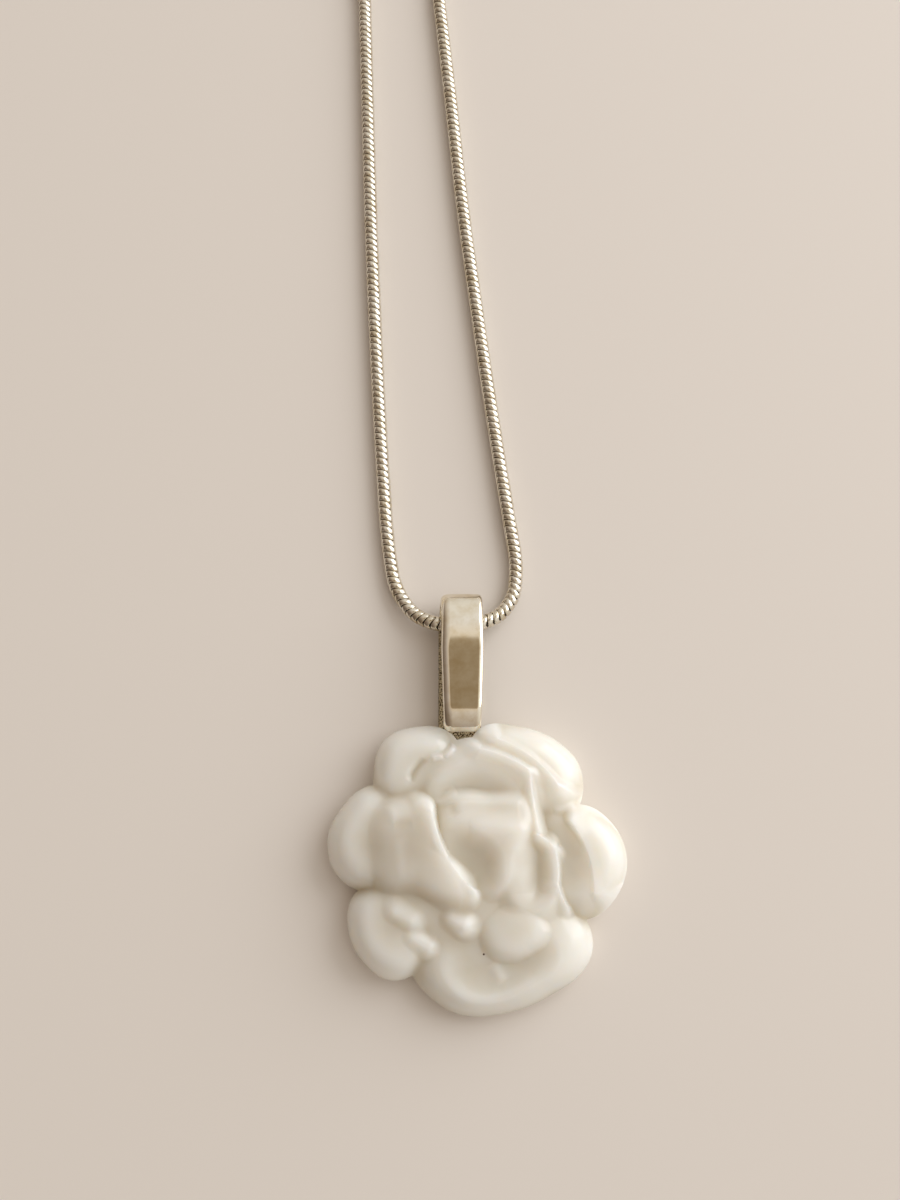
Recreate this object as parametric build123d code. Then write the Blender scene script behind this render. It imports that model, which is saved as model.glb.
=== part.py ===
from build123d import *
import os
from math import cos, pi, radians, sin, sqrt, tan

import numpy as np

# A cast glass flower on a glue-on bail and a snake chain, lying face up on a flat surface.
# Origin: centre of the glass's flat back. +X right, +Y towards the bail, +Z up. Millimetres.

# Glass flower
flower_width = 30.0          # across the widest pair of outer petals
relief_height = 8.0          # the height that the petal tables give shares of
ring_count = 36              # rings of facets from the centre to the rim

# Bail, one strip bent over the chain and down behind the glass
plate_thickness = 1.0        # back plate, glued in the channel
plate_width = 4.4
plate_reach = 11.0           # how far the plate runs down behind the glass
front_thickness = 1.1        # front leg
bail_depth = 5.2             # back face to the front of the bow
bail_length = 13.5           # above the top edge of the glass
bail_top_width = 4.3
bail_end_width = 3.75        # of the front leg, over the glass's edge
bail_x = -1.75               # middle of the plate, left of the flower's centre
front_shift = 0.30           # the loop leans this far to the right at its front
left_bevel = 0.88            # along the front leg's two long edges
right_bevel = 0.46
leg_overlap = 0.75           # how far the front leg reaches past the top edge of the glass
flat_from = 0.2              # the leg is flat between these shares of it, from its lower end up
flat_to = 0.7
leg_drop = 1.15              # its lower end curves back by this
tip_width = 0.84             # of the rounded tip, as shares of the leg's own sizes there
tip_thickness = 0.7
tip_bevel = 0.6
bevel_slope = 0.6            # a bevel's drop over its width
back_share = 0.9             # the strip behind is this much of the plate's thickness
back_bevel = 0.2             # and its bevels this much of the leg's
leg_shares = (0.06, 0.14, 0.22, 0.3, 0.65, 1.0)      # cross-sections up to the flat's upper end
bend_angles = (75, 60, 45, 30, 15, 0, -15, -30, -45, -60, -75, -90)   # and over the top to the back
glue_gap = 0.10              # all round the plate in its channel
channel_overcut = 0.5        # the channel's cutter reaches this far below the glass's back

# Snake chain and its closure
chain_diameter = 1.5
seat_gap = 0.10              # chain over the bail's plate
cap_diameter = 2.2
cap_length = 4.0
bore_gap = 0.05              # round the chain in a cap
bore_depth = 3.0
end_gap = 0.10               # chain's end to the bottom of its bore
cap_edge = 0.3               # rounding of a cap's rims
eye_bite = 0.15              # a cap's eye sinks this far into it
eye_radius = 1.0             # middle line of every flat eye
eye_wire = 0.6
ring_radius = 1.9            # middle line of the jump rings
ring_wire = 0.6
link_gap = 0.06              # from a ring's middle plane to each eye's wire
clasp_wire = 0.7
clasp_hook_length = 6.4      # middle line of the closed hook
clasp_hook_width = 3.2
clasp_body_length = 4.6
body_over_eye = 0.2          # the clasp's body runs this far past the middle of its eye's wire
body_over_hook = 1.2         # and this far past the middle of the hook's end
corner_share = 0.45          # share of a run of the route that each of its corners may round
closure_x = -8.6             # middle of the closure, halfway between the strands
closure_y = 200.0

half_width = flower_width / 2
chain_radius = chain_diameter / 2

# Heights of the chain's middle line
on_floor = chain_radius
on_plate = plate_thickness + seat_gap + chain_radius
halfway = (on_floor + on_plate) / 2
in_cap = cap_diameter / 2

# The petals, laid one over another from the rim inwards. A petal is raised, a hollow is carved.
# Lengths are hundredths of half the flower's width, heights hundredths of relief_height.
# The eight reaches run anticlockwise from the right. Tilt is the rise over half the width,
# crown the drop from the middle to the edge, power the squareness, fuse the melted radius.
petals = [
    # kind, name, x, y, right, upper right, up, upper left, left, lower left, down, lower right,
    # level, tilt_x, tilt_y, crown, power, fuse
    ("petal", "outer_bottom", 16, -50, 60, 51, 39, 46, 63, 54.5, 42.5, 44, 51, 0, 4, 28, 6, 8),
    ("petal", "outer_right", 69, 5, 31, 32.5, 37, 36, 30, 33, 38, 32, 54, -2, 0, 30, 4.5, 8),
    ("petal", "outer_top_right", 30, 62, 41.5, 33.7, 33, 41.7, 36, 28, 28, 42, 54, 2, 2, 30, 4.5, 8),
    ("petal", "outer_top_left", -43, 65, 33, 35.5, 29.5, 29, 27, 32, 33, 33, 53, 2, 0, 26, 5, 8),
    ("petal", "outer_left", -69, 19, 30, 33, 36.5, 31, 31.5, 34, 34, 30, 55, 6, 0, 28, 5, 9),
    ("petal", "outer_bottom_left", -56, -40, 26, 26, 30, 35, 29.5, 28, 31.5, 30, 52, 4, 4, 26, 5, 9),
    ("petal", "outer_top", 3, 51, 51, 37.5, 36, 40, 48, 39, 33, 40, 57, 0, 0, 28, 4, 9),
    ("petal", "notch_fill", 50, 31, 14, 12, 12, 14, 14, 14, 16, 14, 50, 0, 0, 9, 2, 8),
    ("hollow", "right_hollow", 61, 3, 14.5, 17, 25, 18, 12, 18, 26, 21, 49, 22, -6, 7, 2.5, 6),
    ("hollow", "bottom_hollow", 13, -54, 39, 39, 26, 33, 38, 34, 27, 26, 45, -2, 34, 8, 4, 5),
    ("petal", "collar", -10, 3, 49, 44, 48, 58, 60, 62, 54, 52, 59, 0, 0, 22, 4, 10),
    ("petal", "top_outer_cup", 3, 51, 52, 38.5, 37, 41, 49, 40, 33, 40, 60, 2, 0, 24, 6, 4),
    ("petal", "top_inner_cup", 0, 48.5, 35, 27, 28, 34, 43, 33, 26, 32, 63, 3, 0, 28, 6, 6),
    ("hollow", "top_hollow", 5, 50, 30, 25, 25, 27, 30, 20, 14, 26, 54, 20, 30, 9, 2.5, 6),
    ("petal", "bud", 8, 16, 30, 43, 35, 43, 37, 27, 38, 32, 72, -8, 4, 22, 6, 8),
    ("hollow", "bud_hollow", 1, -1, 15, 17, 20, 26, 18.5, 14.5, 26, 20, 57, 26, 8, 12, 2, 8),
    ("petal", "left_wrap", -40, 12, 17, 18.5, 30, 36, 32, 33, 27, 46, 72, 33, 14, 13, 5, 8),
    ("petal", "right_wrap", 35, -4, 16, 14, 23, 26, 23, 26, 33, 30, 61, 0, 0, 20, 4, 9),
    ("hollow", "right_wrap_hollow", 40, -4, 11, 16, 18, 14, 12, 19, 22, 18, 50, 36, 0, 10, 2.2, 7),
    ("petal", "bottom_bulge", 22, -40, 24.5, 18, 17, 18.5, 21, 20, 18, 18.5, 58, 2, 2, 11, 5, 8),
]
rim_petals = ("outer_bottom", "outer_right", "outer_top_right", "outer_top_left", "outer_left",
             "outer_bottom_left", "outer_top")

# Rounded rolls of glass along a bowed line, in the same shares; level runs from start to end.
rolls = [
    # name, x1, y1, x2, y2, bow, left width, right width, level1, level2, crown, power, fuse
    ("left_wrap_rim", -30, 37, -3, -13, 5, 1.2, 8, 82, 73, 6, 1.3, 3),
    ("middle_ridge", 22, 12, 24, -16, 0, 11, 10, 70, 61, 8, 2, 9),
    ("right_wrap_rim_top", 39, 22, 50, 14, -0.7, 1.5, 6, 66, 63, 5, 1.2, 3),
    ("right_wrap_rim_side", 50.5, 13, 52, -10, -1, 1.3, 7, 63, 60, 5, 1.2, 3),
    ("right_wrap_rim_low", 52, -10, 57.5, -23, 0.5, 1.3, 7, 60, 53, 5, 1.2, 3),
    ("inner_cup_rim", 2, 78, 33, 65, -2, 1.8, 9, 64, 66, 5, 1.2, 3),
    ("inner_cup_side", 34.5, 62, 40, 24, 0.6, 2, 5, 65, 67, 5, 1.2, 3),
    ("outer_cup_rim", 14, 85, 53, 55, -4, 2.4, 9, 57, 60, 5, 1.2, 4),
    ("right_lobe_rim", 61, 31, 75.5, -15, -4.5, 6, 2.2, 56, 55, 5, 1.2, 3),
    ("ruffle_left", -54, -28, -44, -33, 0, 10, 6, 59, 60, 8, 1.7, 6),
    ("ruffle_middle", -17, -32, -10, -36, 0, 9, 6, 63, 65, 8, 1.7, 6),
    ("ruffle_low", -43, -44, -33, -50, 0, 8, 6, 56, 55, 8, 1.7, 6),
]

# Fine ridges (lift above 0) and creases (below 0), in the same shares.
folds = [
    # name, x1, y1, x2, y2, bow, left width, right width, lift: ridges above 0, creases below
    ("top_left_crease", -45, 57, -35, 72, -1.5, 2.4, 2.4, -5),
    ("top_cup_pinch", -31, 72, -23, 74, 0, 2, 2, 5),
    ("top_cup_pinch_up", -23, 73, -16, 82, 1, 2, 2, 5),
    ("right_notch_rim", 50, 38, 66, 42, 1, 2.4, 2.4, 4),
    ("bud_valley", -14, 39, 26, 38, 0, 5, 5, -3),
    ("bud_band", -6, 27, 34, 24, 0, 6, 8, 4),
    ("bud_dent", -18, 42, -15, 34, 0, 4, 4, -3),
    ("bud_shoulder", -28, 42, -14, 51, 0, 3, 3, 4),
    ("wrap_under_groove", -54, -13, -12, -22, 1.5, 4, 4, -2),
    ("left_wrap_crease", -55, 29, -43, 30, 0, 3.5, 3.5, -1.2),
    ("left_wrap_ridge", -59, 42, -54, 30, 0, 4, 4, 2),
    ("left_wrap_fold", -53, 20, -51, -8, 0, 4, 4, 1),
    ("bottom_ripple", 9, -60, 16, -72, 0, 4, 4, 2),
]
floor_share = 0.12           # lowest the relief may be, as a share of relief_height
fold_fade = 0.8              # how much of a fold is lost at its two ends
ring_spread = 0.9            # below 1 the rings stand closer together near the rim
spread_limit = 2.5           # a petal's drop stops growing at this many reaches
rim_reach = 118.0            # no petal reaches past this many hundredths of half the width
rim_step = 0.1               # fineness of the rim, in the same hundredths
rim_inset = ((0.0, 0.55), (0.012, 0.22), (0.045, 0.0))   # share of the radius, share of rim height

# The chain's middle line between its two ends, chosen by hand: x, y, height. From the left cap
# down the left strand, through the bail, up the right strand and round to the right cap.
chain_route = [
    (-29.5, closure_y, in_cap),
    (-41.0, 195.0, on_floor),
    (-50.2, 185.0, on_floor),
    (-53.8, 172.0, on_floor),
    (-52.2, 158.5, on_floor),
    (-45.0, 146.5, on_floor),
    (-36.0, 136.0, on_floor),
    (-26.5, 126.0, on_floor),
    (-18.0, 116.0, on_floor),
    (-13.0, 104.8, on_floor),
    (-12.3, 86.5, on_floor),
    (-11.7, 71.0, on_floor),
    (-11.0, 57.5, on_floor),
    (-10.25, 45.0, on_floor),
    (-9.5, 34.8, on_floor),
    (-8.7, 29.3, on_floor),
    (-6.8, 26.2, halfway),
    (-4.3, 24.9, on_plate),
    (0.6, 25.0, on_plate),
    (2.7, 26.1, halfway),
    (4.1, 28.3, on_floor),
    (4.35, 31.8, on_floor),
    (3.3, 38.5, on_floor),
    (1.6, 50.2, on_floor),
    (0.15, 61.5, on_floor),
    (-1.3, 73.0, on_floor),
    (-2.6, 86.5, on_floor),
    (-4.5, 104.5, on_floor),
    (-0.8, 116.0, on_floor),
    (8.0, 126.0, on_floor),
    (18.0, 136.0, on_floor),
    (27.5, 146.5, on_floor),
    (34.7, 158.5, on_floor),
    (36.6, 172.0, on_floor),
    (33.0, 185.0, on_floor),
    (23.8, 195.0, on_floor),
    (12.3, closure_y, in_cap),
]


def reach(values, angle):
    """Closed smooth curve through eight reaches, the first to the right, anticlockwise."""
    values = np.asarray(values, float)
    step = (angle / (pi / 4)) % 8
    index = np.floor(step).astype(int) % 8
    share = step - np.floor(step)
    before, start, end, after = (values[(index + k) % 8] for k in (-1, 0, 1, 2))
    bend = 2 * before - 5 * start + 4 * end - after + share * (3 * (start - end) + after - before)
    return start + 0.5 * share * (end - before + share * bend)


def melt(a, b, fuse):
    """The higher of two surfaces, with the crease between them filled."""
    near = np.maximum(fuse - np.abs(a - b), 0) / fuse
    return np.maximum(a, b) + near * near * fuse / 4


def along(x, y, x1, y1, x2, y2, bow, left_width, right_width):
    """Share of the way along a bowed line, and the distance from it as a share of that side's width."""
    run_x, run_y = x2 - x1, y2 - y1
    length = sqrt(run_x ** 2 + run_y ** 2)
    share = np.clip(((x - x1) * run_x + (y - y1) * run_y) / length ** 2, 0, 1)
    side = 4 * bow * share * (1 - share) / length
    away_x = x - x1 - share * run_x - side * run_y
    away_y = y - y1 - share * run_y + side * run_x
    distance = np.hypot(away_x, away_y)
    lean = (run_x * away_y - run_y * away_x) / length / np.maximum(distance, 1e-6)
    return share, distance / ((left_width + right_width + (left_width - right_width) * lean) / 2)


def relief(x, y):
    """Height of the glass above its back, for arrays of x and y in millimetres."""
    unit = half_width / 100
    x, y = np.asarray(x, float) / unit, np.asarray(y, float) / unit
    level = np.full(x.shape, 100 * floor_share)
    for kind, name, middle_x, middle_y, *rest in petals:
        reaches, (top, tilt_x, tilt_y, crown, power, fuse) = rest[:8], rest[8:]
        dx, dy = x - middle_x, y - middle_y
        spread = np.hypot(dx, dy) / reach(reaches, np.arctan2(dy, dx))
        drop = crown * np.minimum(spread, spread_limit) ** power
        face = top + (tilt_x * dx + tilt_y * dy) / 100
        if kind == "petal":
            level = melt(level, face - drop, fuse)
        else:
            level = -melt(-level, -face - drop, fuse)
    for name, x1, y1, x2, y2, bow, left_width, right_width, level1, level2, crown, power, fuse in rolls:
        share, distance = along(x, y, x1, y1, x2, y2, bow, left_width, right_width)
        level = melt(level, level1 + share * (level2 - level1) - crown * distance ** power, fuse)
    for name, x1, y1, x2, y2, bow, left_width, right_width, lift in folds:
        share, distance = along(x, y, x1, y1, x2, y2, bow, left_width, right_width)
        fade = 1 - fold_fade * (2 * share - 1) ** 4
        level = level + lift * fade * np.exp(-distance ** 2)
    return level * relief_height / 100


def rim_radius(angle):
    """Outermost reach of the rim petals along one ray from the flower's centre, millimetres."""
    unit = half_width / 100
    steps = np.arange(1.0, rim_reach, rim_step)
    x, y = steps * cos(angle), steps * sin(angle)
    furthest = 0.0
    for kind, name, middle_x, middle_y, *rest in petals:
        if name in rim_petals:
            dx, dy = x - middle_x, y - middle_y
            inside = np.hypot(dx, dy) <= reach(rest[:8], np.arctan2(dy, dx))
            furthest = max(furthest, float(np.max(np.where(inside, steps, 0.0))))
    return furthest * unit


def triangle(a, b, c):
    return Face(Wire.make_polygon([a, b, c], close=True))


def ring_strip(inner, outer):
    """Triangles between two closed rings of points that may differ in number."""
    faces = []
    i = j = 0
    n, m = len(inner), len(outer)
    while i < n or j < m:
        if j * n <= i * m and j < m:
            faces.append(triangle(inner[i % n], outer[j % m], outer[(j + 1) % m]))
            j += 1
        else:
            faces.append(triangle(inner[i % n], outer[j % m], inner[(i + 1) % n]))
            i += 1
    return faces


def make_flower():
    """Faceted relief on rings, closed below by a rounded rim and a flat back."""
    rings = [[(0.0, 0.0, float(relief(0.0, 0.0)))]]
    for k in range(1, ring_count + 1):
        spread = (k / ring_count) ** ring_spread
        angles = [2 * pi * i / (6 * k) for i in range(6 * k)]
        radii = [spread * rim_radius(a) for a in angles]
        x = np.array([r * cos(a) for r, a in zip(radii, angles)])
        y = np.array([r * sin(a) for r, a in zip(radii, angles)])
        rings.append([tuple(map(float, p)) for p in zip(x, y, relief(x, y))])
    faces = [triangle(rings[0][0], rings[1][i], rings[1][(i + 1) % 6]) for i in range(6)]
    for inner, outer in zip(rings[1:], rings[2:]):
        faces += ring_strip(inner, outer)
    upper = rings[-1]
    for inset, height in rim_inset:
        lower = [(x * (1 - inset), y * (1 - inset), z * height) for x, y, z in rings[-1]]
        for i in range(len(upper)):
            j = (i + 1) % len(upper)
            faces += [triangle(upper[i], lower[i], lower[j]), triangle(upper[i], lower[j], upper[j])]
        upper = lower
    faces.append(Face(Wire.make_polygon(upper, close=True)))
    glass = Solid(Shell(faces))
    return glass - plate_solid(glue_gap, overrun=half_width)


def glass_top_y():
    """Where the flower's upper edge crosses the bail's middle line."""
    return max(rim_radius(radians(a)) * sin(radians(a)) for a in range(60, 121))


def plate_solid(gap=0.0, overrun=0.0):
    """The bail's back plate with a round lower end, or with a gap the channel that it lies in."""
    lower_y = glass_top_y() - plate_reach
    upper_y = glass_top_y() + bail_length - bail_depth / 2 + overrun
    radius = plate_width / 2 + gap
    middle = (lower_y + plate_width / 2 + upper_y) / 2
    length = upper_y - lower_y - plate_width / 2
    outline = Pos(bail_x, middle) * Rectangle(2 * radius, length)
    outline += Pos(bail_x, lower_y + plate_width / 2) * Circle(radius)
    below = channel_overcut if gap else 0.0
    return extrude(Pos(0, 0, -below) * outline, plate_thickness + gap + below)


def bail_stations():
    """Middle line of the loop's strip with its size: y, z, width, thickness, share of the bevels."""
    top, end = glass_top_y() + bail_length, glass_top_y() - leg_overlap
    bend_y = top - bail_depth / 2
    flat_end = end + flat_to * (bend_y - end)
    high, low = bail_depth - front_thickness / 2, plate_thickness / 2
    back_thickness = back_share * plate_thickness
    tip_y = top - (front_thickness + back_thickness) / 4
    rows = [(end, high - leg_drop, tip_width * bail_end_width, tip_thickness * front_thickness, tip_bevel)]
    for share in leg_shares:
        y = end + share * (flat_end - end)
        curl = max(0.0, 1 - (y - end) / (flat_from * (bend_y - end)))
        width = bail_end_width + (bail_top_width - bail_end_width) * share
        rows.append((y, high - leg_drop * curl ** 2, width, front_thickness, 1.0))
    for angle in bend_angles:
        over = (90 - angle) / 180
        start = flat_end if angle > 0 else bend_y
        y = start + (tip_y - start) * cos(radians(angle))
        z = (high + low) / 2 + (high - low) / 2 * sin(radians(angle))
        thickness = front_thickness + (back_thickness - front_thickness) * over
        rows.append((y, z, bail_top_width, thickness, 1 + (back_bevel - 1) * over))
    rows.append((bend_y - bail_depth / 2, low, bail_top_width, back_thickness, back_bevel))
    return rows


def bail_section(row, run):
    """Bevelled cross-section of the strip, square to its middle line."""
    y, z, width, thickness, share = row
    middle_x = bail_x + front_shift * z / bail_depth
    half, outer, inner = width / 2, thickness / 2, -thickness / 2
    left, right = share * left_bevel, share * right_bevel
    corners = [(-half, inner), (half, inner), (half, outer - bevel_slope * right), (half - right, outer),
               (left - half, outer), (-half, outer - bevel_slope * left)]
    points = [(middle_x + x, y - run.Z * n, z + run.Y * n) for x, n in corners]
    return Face(Wire.make_polygon(points, close=True))


def make_bail():
    rows = bail_stations()
    sections = []
    for i, row in enumerate(rows):
        before, after = rows[max(i - 1, 0)], rows[min(i + 1, len(rows) - 1)]
        run = Vector(0, after[0] - before[0], after[1] - before[1]).normalized()
        sections.append(bail_section(row, run))
    return loft(sections, ruled=True) + plate_solid()


def arc_radii(points):
    """One radius for each corner, from a share of the shorter run and the tangent of half the turn."""
    radii = []
    for a, b, c in zip(points, points[1:], points[2:]):
        before, after = Vector(b) - Vector(a), Vector(c) - Vector(b)
        turn = radians(before.get_angle(after))
        radii.append(corner_share * min(before.length, after.length) / tan(turn / 2))
    return radii


def make_chain(places):
    into = bore_depth - end_gap
    start = (places["mouth_left"] + into, closure_y, in_cap)
    end = (places["mouth_right"] - into, closure_y, in_cap)
    route = [start] + chain_route + [end]
    radii = arc_radii(route)
    path = FilletPolyline(*route, radius=radii)
    section = Plane(origin=path @ 0, z_dir=path % 0) * Circle(chain_radius)
    tube = sweep(section, path=path)
    print("chain length %.1f, tightest radius %.2f" % (path.length, min(radii)))
    print("chain volume %.2f, section times length %.2f" % (tube.volume, pi * chain_radius ** 2 * path.length))
    return tube


def eye(x):
    """A flat wire eye with its hole upright."""
    return Pos(x, closure_y, in_cap) * Torus(eye_radius, eye_wire / 2)


def closure_places():
    """X of each piece's start, worked out from the left cap's mouth along the closure."""
    step = link_gap + eye_wire / 2
    eye_left = cap_length + eye_radius - eye_bite
    ring_left = eye_left + eye_radius + step
    clasp_eye = ring_left + step + eye_radius
    body_end = clasp_eye + eye_radius - body_over_eye + clasp_body_length
    hook_start = body_end - body_over_hook
    hook_end = hook_start + clasp_hook_length
    ring_right = hook_end + link_gap + clasp_wire / 2
    eye_right = ring_right + step + eye_radius
    mouth_right = eye_right + eye_radius - eye_bite + cap_length
    starts = {"mouth_left": 0.0, "eye_left": eye_left, "ring_left": ring_left, "clasp_eye": clasp_eye,
              "body_end": body_end, "hook_start": hook_start, "ring_right": ring_right,
              "eye_right": eye_right, "mouth_right": mouth_right}
    shift = closure_x - mouth_right / 2
    return {name: start + shift for name, start in starts.items()}


def make_cap(mouth_x, eye_x, side):
    """Turned cap, its mouth towards the chain; side is 1 when the eye is to the right."""
    lying = (0, 90, 0)
    body = fillet(Cylinder(cap_diameter / 2, cap_length, rotation=lying).edges(), cap_edge)
    bore = Cylinder(chain_radius + bore_gap, 2 * bore_depth, rotation=lying)
    cap = body - Pos(-side * cap_length / 2, 0, 0) * bore
    return Pos(mouth_x + side * cap_length / 2, closure_y, in_cap) * cap + eye(eye_x)


def make_jump_ring(x):
    """Upright round ring that stands on the surface across both of the eyes it joins."""
    stand = ring_radius + ring_wire / 2
    return Pos(x, closure_y, stand) * Torus(ring_radius, ring_wire / 2, rotation=(90, 0, 0))


def make_clasp(places):
    """Closed hook, thick body and eye in one piece."""
    middle = places["hook_start"] + clasp_hook_length / 2
    path = Pos(middle, closure_y, in_cap) * SlotOverall(clasp_hook_length, clasp_hook_width).wire()
    section = Plane(origin=path @ 0, z_dir=path % 0) * Circle(clasp_wire / 2)
    arch = EllipticalCenterArc((0, 0), clasp_body_length / 2, in_cap, start_angle=0, arc_size=180)
    body = revolve(make_face([arch, Line(arch @ 1, arch @ 0)]), Axis.X)
    body = Pos(places["body_end"] - clasp_body_length / 2, closure_y, in_cap) * body
    return sweep(section, path=path) + body + eye(places["clasp_eye"])


def main():
    places = closure_places()
    print("closure", {name: round(value, 2) for name, value in places.items()})
    pieces = {
        "glass_flower": make_flower(),
        "bail": make_bail(),
        "snake_chain": make_chain(places),
        "end_cap_left": make_cap(places["mouth_left"], places["eye_left"], 1),
        "end_cap_right": make_cap(places["mouth_right"], places["eye_right"], -1),
        "jump_ring_left": make_jump_ring(places["ring_left"]),
        "jump_ring_right": make_jump_ring(places["ring_right"]),
        "clasp": make_clasp(places),
    }
    os.makedirs("parts", exist_ok=True)
    for name, piece in pieces.items():
        export_step(piece, "parts/" + name + ".step")


main()
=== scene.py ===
from math import cos, pi, radians, sin, tan

import bpy
import numpy as np
from mathutils import Matrix, Vector


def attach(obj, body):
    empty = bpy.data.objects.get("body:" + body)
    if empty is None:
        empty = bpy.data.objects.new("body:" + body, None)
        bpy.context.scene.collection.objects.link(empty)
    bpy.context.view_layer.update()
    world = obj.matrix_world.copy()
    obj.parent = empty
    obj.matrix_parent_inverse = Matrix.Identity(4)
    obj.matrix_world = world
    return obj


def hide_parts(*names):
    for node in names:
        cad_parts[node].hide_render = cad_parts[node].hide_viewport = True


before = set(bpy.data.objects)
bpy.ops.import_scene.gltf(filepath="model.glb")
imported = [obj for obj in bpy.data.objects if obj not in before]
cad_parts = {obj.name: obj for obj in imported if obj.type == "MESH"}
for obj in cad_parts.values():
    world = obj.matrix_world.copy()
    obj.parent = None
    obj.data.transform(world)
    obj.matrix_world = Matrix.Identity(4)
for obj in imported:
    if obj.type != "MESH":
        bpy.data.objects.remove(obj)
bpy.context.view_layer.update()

# A cast glass flower on a glue-on bail and a snake chain. Shapes are worked out in millimetres
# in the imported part's own frame, and become metres when a mesh is made.
mm = 0.001
scene = bpy.context.scene


def toLinear(hexColour):
    values = [int(hexColour[i:i + 2], 16) / 255 for i in (1, 3, 5)]
    return [v / 12.92 if v <= 0.04045 else ((v + 0.055) / 1.055) ** 2.4 for v in values] + [1.0]


def addNode(tree, kind, settings=None, links=None):
    node = tree.nodes.new(kind)
    for name, value in (settings or {}).items():
        if isinstance(name, int) or name in node.inputs:
            node.inputs[name].default_value = value
        else:
            setattr(node, name, value)
    for name, source in (links or {}).items():
        tree.links.new(source, node.inputs[name])
    return node


def newMaterial(name):
    material = bpy.data.materials.new(name)
    material.use_nodes = True
    tree = material.node_tree
    tree.nodes.clear()
    shader = addNode(tree, "ShaderNodeBsdfPrincipled")
    addNode(tree, "ShaderNodeOutputMaterial", links={"Surface": shader.outputs["BSDF"]})
    place = addNode(tree, "ShaderNodeTexCoord").outputs["Object"]
    return material, tree, shader, place


def setRamp(node, stops):
    ramp = node.color_ramp
    while len(ramp.elements) < len(stops):
        ramp.elements.new(0.5)
    for element, (position, colour) in zip(ramp.elements, stops):
        element.position = position
        element.color = toLinear(colour)
    return node.outputs["Color"]


def addMesh(name, points, faces, material, sharpAngle=None):
    mesh = bpy.data.meshes.new(name)
    mesh.from_pydata([tuple(float(c) * mm for c in p) for p in points], [], faces)
    mesh.update()
    mesh.shade_smooth()
    if sharpAngle:
        mesh.set_sharp_from_angle(angle=radians(sharpAngle))
    mesh.materials.append(material)
    thing = bpy.data.objects.new(name, mesh)
    scene.collection.objects.link(thing)
    return thing


def asPart(thing, node):
    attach(thing, "root")
    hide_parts(node)


def ringFaces(rows, closed=False):
    # Quads over rows of equal point counts, each row a closed loop, with the two ends filled
    count, around = len(rows), len(rows[0])
    points = [p for row in rows for p in row]
    faces = []
    for i in range(count if closed else count - 1):
        a, b = i * around, ((i + 1) % count) * around
        faces += [(a + j, a + (j + 1) % around, b + (j + 1) % around, b + j) for j in range(around)]
    if not closed:
        faces.append(tuple(reversed(range(around))))
        faces.append(tuple(range((count - 1) * around, count * around)))
    return points, faces


def wireRows(path, radii, around=16, closed=False):
    # Rings of points round a path in space, with its own radius at each point
    rows, side, count = [], None, len(path)
    for i, here in enumerate(path):
        before = path[i - 1] if closed else path[max(i - 1, 0)]
        after = path[(i + 1) % count] if closed else path[min(i + 1, count - 1)]
        run = (Vector(after) - Vector(before)).normalized()
        if side is None:
            side = run.cross(Vector((0, 0, 1)) if abs(run.z) < 0.9 else Vector((1, 0, 0)))
        side = (side - run * side.dot(run)).normalized()
        up = side.cross(run)
        turns = [2 * pi * j / around for j in range(around)]
        rows.append([tuple(Vector(here) + (side * cos(t) - up * sin(t)) * radii[i]) for t in turns])
    return rows


def joinShapes(shapes):
    points, faces = [], []
    for morePoints, moreFaces in shapes:
        start = len(points)
        points += morePoints
        faces += [tuple(start + i for i in face) for face in moreFaces]
    return points, faces


# Opaque white opal glass, cast in a mould and fire polished: milky, with light passing a little
# way in, a soft gloss, faint waves left by melting and one pinhole near the lower middle, whose
# shade is painted as a dark spot. Shade is also painted in as a warmer, darker tone where the glass
# is hollow, and light as a whiter tone on its ridges. Sizes are in millimetres.
opalGlassLook = {"body": "#E8E4DB", "thin": "#DBD5C8", "cloudSize": 7.0, "cloudEdges": (0.35, 0.62),
                 "hollow": "#CBC1A9", "shadeFullDepth": 1.0, "paintedRidgeLight": "#ECE9E2", "ridgeLightFullHeight": -0.4,
                 "roughness": (0.08, 0.22), "ior": 1.5, "scatter": 1.0, "scatterDepth": 5.0,
                 "scatterTint": (1.0, 0.85, 0.7), "waveSize": 2.6, "waveHeight": 0.03,
                 "grainSize": 0.55, "grainHeight": 0.004, "pinholeShade": "#4A3426", "pinholeSize": 0.13,
                 "pinholeAt": (0.55, -8.1, 3.618)}


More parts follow.
